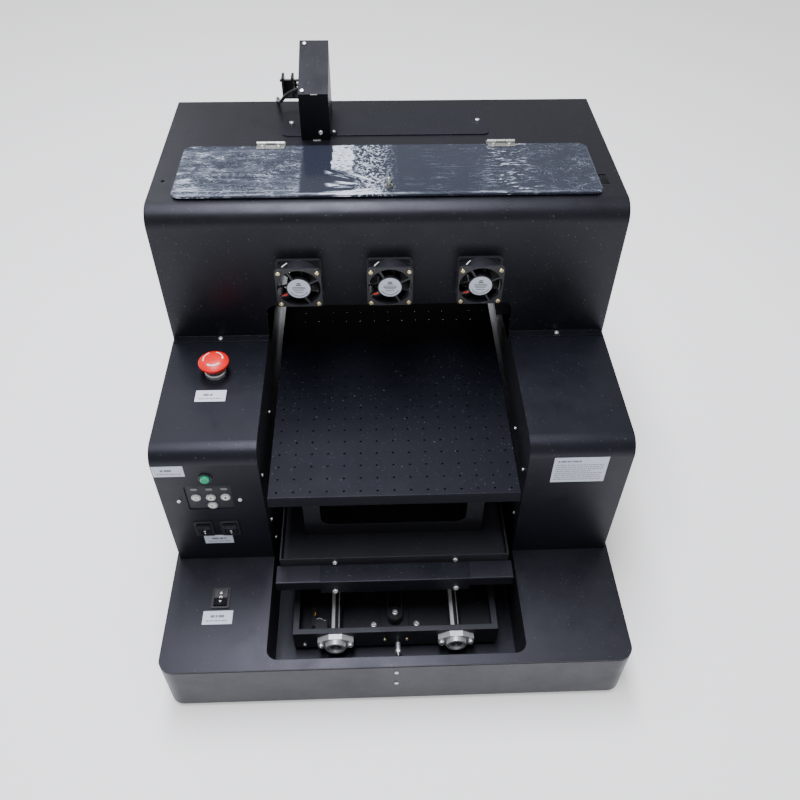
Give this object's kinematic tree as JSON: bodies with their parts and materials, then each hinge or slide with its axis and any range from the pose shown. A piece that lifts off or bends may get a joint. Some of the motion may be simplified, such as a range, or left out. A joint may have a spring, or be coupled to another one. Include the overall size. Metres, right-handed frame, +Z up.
{
  "type": "flatbed uv printer",
  "caption": "Desktop flatbed UV printer: perforated lifting bed on a sliding carriage under a bridge tower with fans, lid, side boxes with controls, open front bay.",
  "frame": {"origin": "centre of the whole footprint, on the surface the feet stand on", "axes": "+X to the operator's right, +Y to the back, +Z up"},
  "size_m": [0.62, 0.7073, 0.6357],
  "materials": {
    "powder_coat": "fine-textured satin powder coat",
    "bed_coat": "fine-textured satin powder coat",
    "rubber": "matte",
    "black_plastic": "moulded satin",
    "dark_metal": "satin",
    "chrome": "ground and polished",
    "zinc_screw": "bright zinc",
    "cast_alloy": "cast, lightly blasted",
    "brass": "bright",
    "red_plastic": "gloss",
    "green_plastic": "gloss",
    "key_silver": "silver",
    "indicator": "frosted",
    "label": "paper sticker",
    "acrylic": "smoky, under a wrinkled clear film"
  },
  "bodies": {
    "machine": {"base_pan": "powder_coat", "base_top_cover": "powder_coat", "rubber_feet": "rubber", "bay_liner": "powder_coat", "side_box_left": "powder_coat", "side_box_right": "powder_coat", "tower_cover": "powder_coat", "rear_panel": "powder_coat", "slot_cover_plate": "powder_coat", "riser_box": "powder_coat", "riser_fork": "dark_metal", "ink_hose": "rubber", "rear_fittings": "black_plastic", "switch_bezels": "black_plastic", "keypad_plate": "black_plastic", "indicator_lenses": "indicator", "estop_collar": "cast_alloy", "labels": "label", "fan_frames": "black_plastic", "hinge_fixed_leaves": "zinc_screw", "bay_frame": "powder_coat", "rod_supports": "cast_alloy", "guide_rods": "chrome", "idler_plate": "powder_coat", "tension_screw": "chrome", "drive_belt": "rubber", "drive_motor": "dark_metal", "limit_switch": "black_plastic", "power_supply": "dark_metal", "x_guide": "powder_coat", "bright_screws": "zinc_screw", "brass_screws": "brass"},
    "carriage": {"carriage_saddle": "powder_coat", "tray": "powder_coat", "tray_ledge": "powder_coat", "ledge_overlay": "powder_coat", "carriage_screws": "zinc_screw", "lift_housing": "powder_coat", "lift_motor": "dark_metal"},
    "bed": {"bed_plate": "bed_coat", "lift_crosshead": "powder_coat"},
    "lift_screw": {"lift_screw": "zinc_screw"},
    "idler_pulley": {"idler_pulley": "cast_alloy"},
    "drive_pulley": {"drive_pulley": "cast_alloy"},
    "print_unit": {"print_carriage": "black_plastic"},
    "lid": {"lid_panel": "acrylic", "lid_fittings": "zinc_screw"},
    "estop_stem": {"estop_stem": "black_plastic"},
    "estop_head": {"estop_head": "red_plastic"},
    "start_button": {"start_button": "green_plastic"},
    "key_1": {"key_1": "key_silver"},
    "key_2": {"key_2": "key_silver"},
    "key_3": {"key_3": "key_silver"},
    "key_4": {"key_4": "key_silver"},
    "rocker_left": {"rocker_left": "black_plastic"},
    "rocker_right": {"rocker_right": "black_plastic"},
    "rocker_base": {"rocker_base": "black_plastic"},
    "fan_rotor_left": {"fan_rotor_left": "black_plastic"},
    "fan_rotor_middle": {"fan_rotor_middle": "black_plastic"},
    "fan_rotor_right": {"fan_rotor_right": "black_plastic"}
  },
  "joints": [
    {"name": "bed_travel", "type": "slide", "parent": "machine", "child": "carriage", "axis": [0, 1, 0], "range_m": [-0.19, 0.25]},
    {"name": "bed_lift", "type": "slide", "parent": "carriage", "child": "bed", "axis": [0, 0, 1], "range_m": [0, 0.05]},
    {"name": "lift_screw_turn", "type": "hinge", "parent": "carriage", "child": "lift_screw", "pos_m": [0, -0.01985, 0.21], "axis": [0, 0, 1], "range_deg": [-2260, 5]},
    {"name": "idler_turn", "type": "hinge", "parent": "machine", "child": "idler_pulley", "pos_m": [0, -0.24185, 0.034], "axis": [0, 0, 1], "range_deg": [-1520, 1160]},
    {"name": "drive_turn", "type": "hinge", "parent": "machine", "child": "drive_pulley", "pos_m": [0, 0.24815, 0.034], "axis": [0, 0, 1], "range_deg": [-1520, 1160]},
    {"name": "print_scan", "type": "slide", "parent": "machine", "child": "print_unit", "axis": [1, 0, 0], "range_m": [-0.44, 0]},
    {"name": "lid_open", "type": "hinge", "parent": "machine", "child": "lid", "pos_m": [0, 0.19415, 0.5426], "axis": [-1, 0, 0], "range_deg": [0, 95]},
    {"name": "estop_press", "type": "slide", "parent": "machine", "child": "estop_stem", "axis": [0, 0, -1], "range_m": [0, 0.004]},
    {"name": "estop_twist", "type": "hinge", "parent": "estop_stem", "child": "estop_head", "pos_m": [-0.237, -0.03685, 0.35], "axis": [0, 0, -1], "range_deg": [0, 45], "stiffness_Nm_per_rad": 0.05},
    {"name": "start_press", "type": "slide", "parent": "machine", "child": "start_button", "axis": [0, 1, 0], "range_m": [0, 0.0025], "stiffness_N_per_m": 400},
    {"name": "key_1_press", "type": "slide", "parent": "machine", "child": "key_1", "axis": [0, 1, 0], "range_m": [0, 0.0012], "stiffness_N_per_m": 400},
    {"name": "key_2_press", "type": "slide", "parent": "machine", "child": "key_2", "axis": [0, 1, 0], "range_m": [0, 0.0012], "stiffness_N_per_m": 400},
    {"name": "key_3_press", "type": "slide", "parent": "machine", "child": "key_3", "axis": [0, 1, 0], "range_m": [0, 0.0012], "stiffness_N_per_m": 400},
    {"name": "key_4_press", "type": "slide", "parent": "machine", "child": "key_4", "axis": [0, 1, 0], "range_m": [0, 0.0012], "stiffness_N_per_m": 400},
    {"name": "rocker_left_tilt", "type": "hinge", "parent": "machine", "child": "rocker_left", "pos_m": [-0.2586, -0.18085, 0.1765], "axis": [-1, 0, 0], "range_deg": [0, 16]},
    {"name": "rocker_right_tilt", "type": "hinge", "parent": "machine", "child": "rocker_right", "pos_m": [-0.2231, -0.18085, 0.1765], "axis": [-1, 0, 0], "range_deg": [0, 16]},
    {"name": "rocker_base_tilt", "type": "hinge", "parent": "machine", "child": "rocker_base", "pos_m": [-0.2396, -0.246, 0.102], "axis": [-1, 0, 0], "range_deg": [-9, 9], "stiffness_Nm_per_rad": 0.05},
    {"name": "fan_left_spin", "type": "hinge", "parent": "machine", "child": "fan_rotor_left", "pos_m": [-0.1193, 0.02415, 0.434], "axis": [0, -1, 0], "continuous": true},
    {"name": "fan_middle_spin", "type": "hinge", "parent": "machine", "child": "fan_rotor_middle", "pos_m": [0, 0.02415, 0.434], "axis": [0, -1, 0], "continuous": true},
    {"name": "fan_right_spin", "type": "hinge", "parent": "machine", "child": "fan_rotor_right", "pos_m": [0.1193, 0.02415, 0.434], "axis": [0, -1, 0], "continuous": true}
  ],
  "couplings": [
    {"joint": "lift_screw_turn", "follows": "bed_lift", "rad_per_m": -785.4},
    {"joint": "idler_turn", "follows": "bed_travel", "rad_per_m": -105.26},
    {"joint": "drive_turn", "follows": "bed_travel", "rad_per_m": -105.26}
  ]
}
